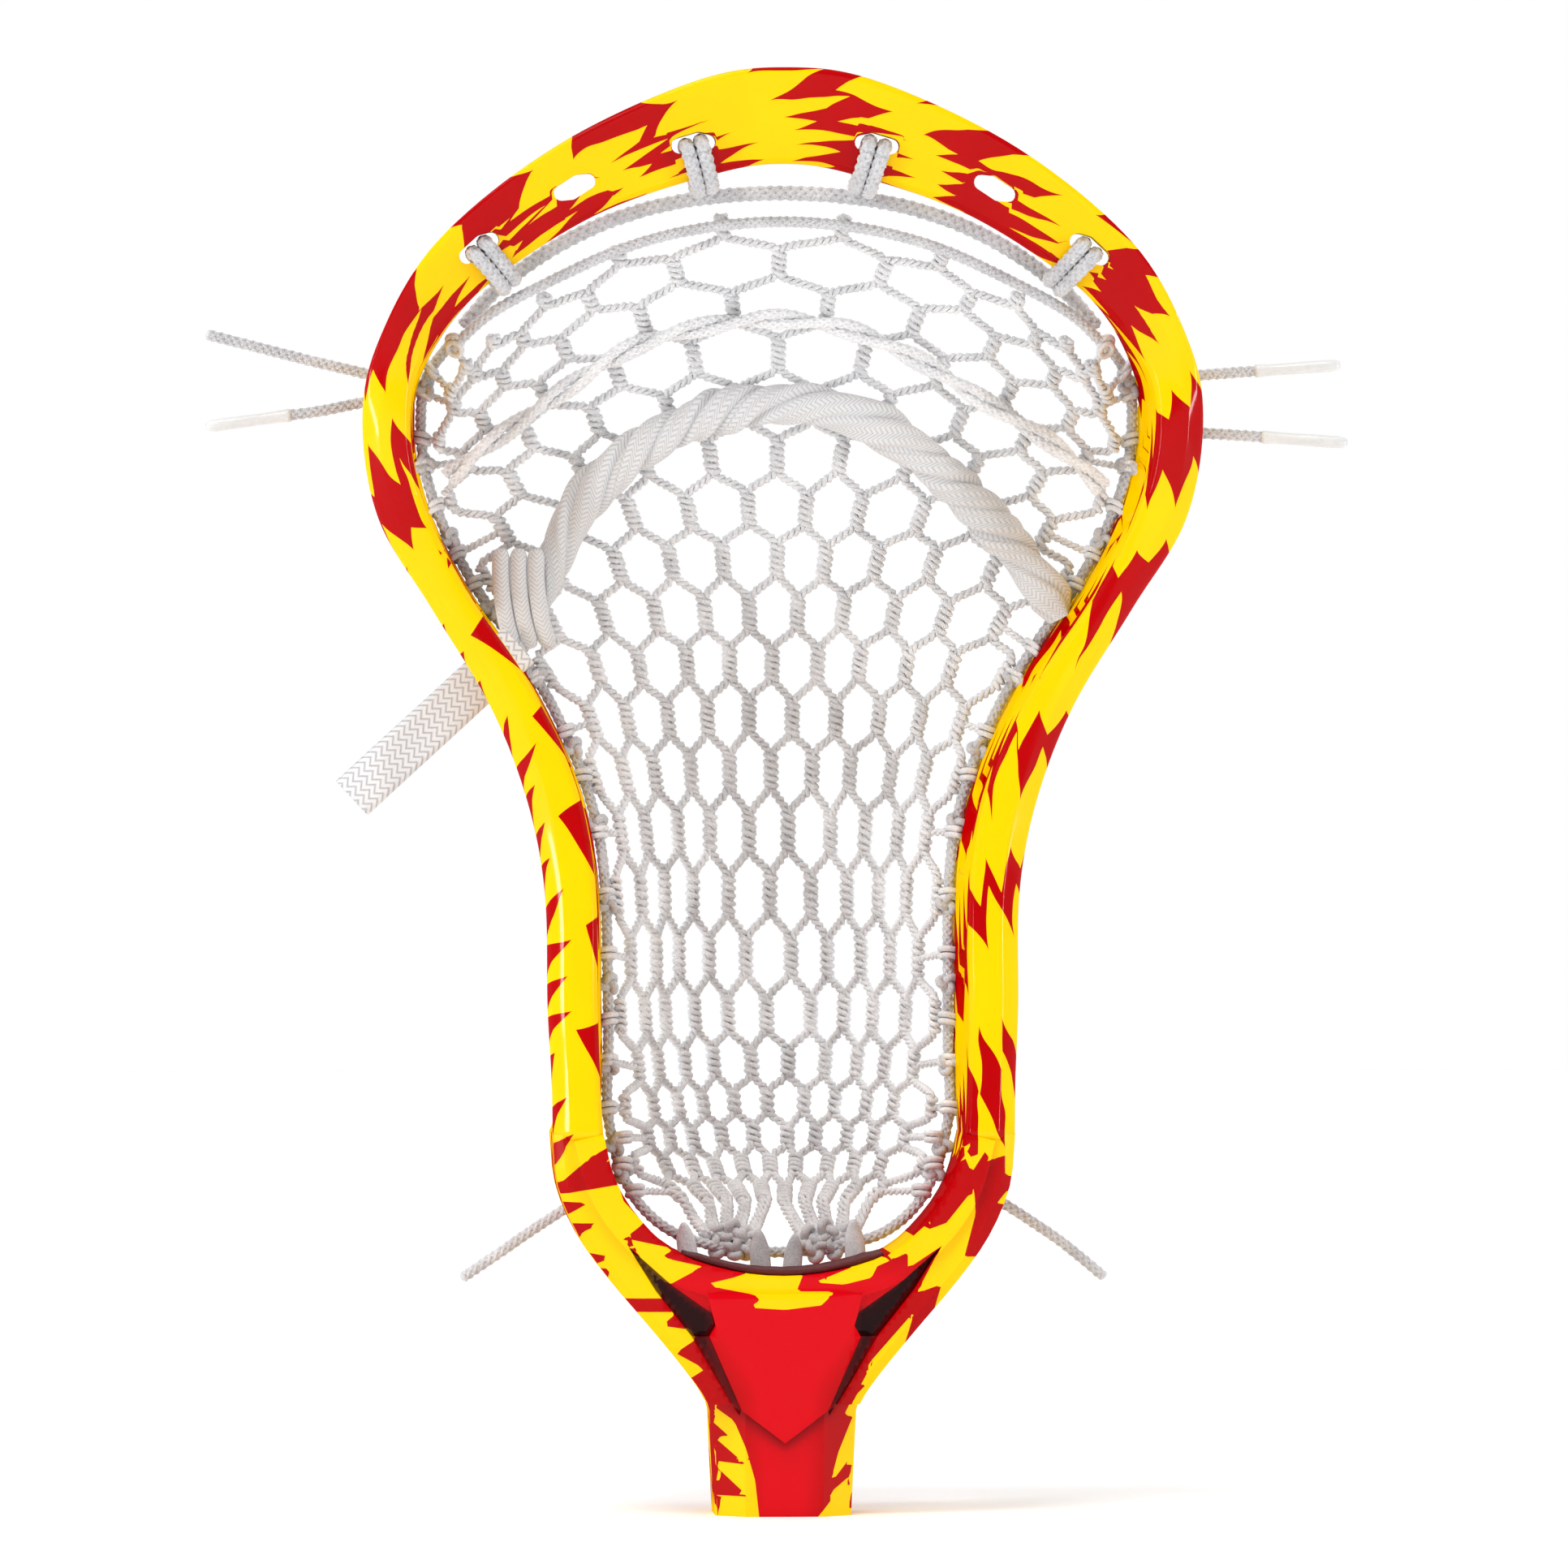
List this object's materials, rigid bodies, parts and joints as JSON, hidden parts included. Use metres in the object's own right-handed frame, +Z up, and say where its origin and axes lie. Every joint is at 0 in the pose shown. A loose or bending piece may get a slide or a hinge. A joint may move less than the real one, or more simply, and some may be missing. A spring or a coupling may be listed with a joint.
{
  "type": "lacrosse head",
  "caption": "Strung lacrosse head: a plastic scoop and sidewalls on a shaft socket, with a knitted net pocket, shooting strings and loose cord ends.",
  "frame": {"origin": "centre of the shaft socket's open end", "axes": "+Z up the shaft's line to the scoop's tip; -Y is the open face that takes the ball and +Y is where the pocket hangs; +X to the right seen from the open face"},
  "size_m": [0.254, 0.0825, 0.3175],
  "materials": {
    "printed_plastic": "gloss, yellow and red flame print",
    "stop_foam": "matt closed foam",
    "knitted_net": "white knitted polyester",
    "braided_cord": "pale braided cord",
    "nylon_cord": "pale twisted nylon",
    "woven_lace": "pale flat woven lace",
    "tip_film": "clear film over cord"
  },
  "bodies": {
    "root": {"scoop_and_sidewalls": "printed_plastic", "throat_and_socket": "printed_plastic", "ball_stop": "stop_foam", "mesh_pocket": "knitted_net", "top_string": "braided_cord", "top_string_loops": "braided_cord", "left_sidewall_string": "braided_cord", "right_sidewall_string": "braided_cord", "bottom_string": "braided_cord", "nylon_shooter_front": "nylon_cord", "nylon_shooter_back": "nylon_cord", "shooting_lace": "woven_lace", "lace_end_loops": "woven_lace", "lace_tail": "woven_lace", "upper_left_tail": "braided_cord", "lower_left_tail": "braided_cord", "upper_right_tail": "braided_cord", "lower_right_tail": "braided_cord", "bottom_left_tail": "braided_cord", "bottom_right_tail": "braided_cord", "lower_left_aglet": "tip_film", "upper_right_aglet": "tip_film", "lower_right_aglet": "tip_film"}
  },
  "joints": []
}
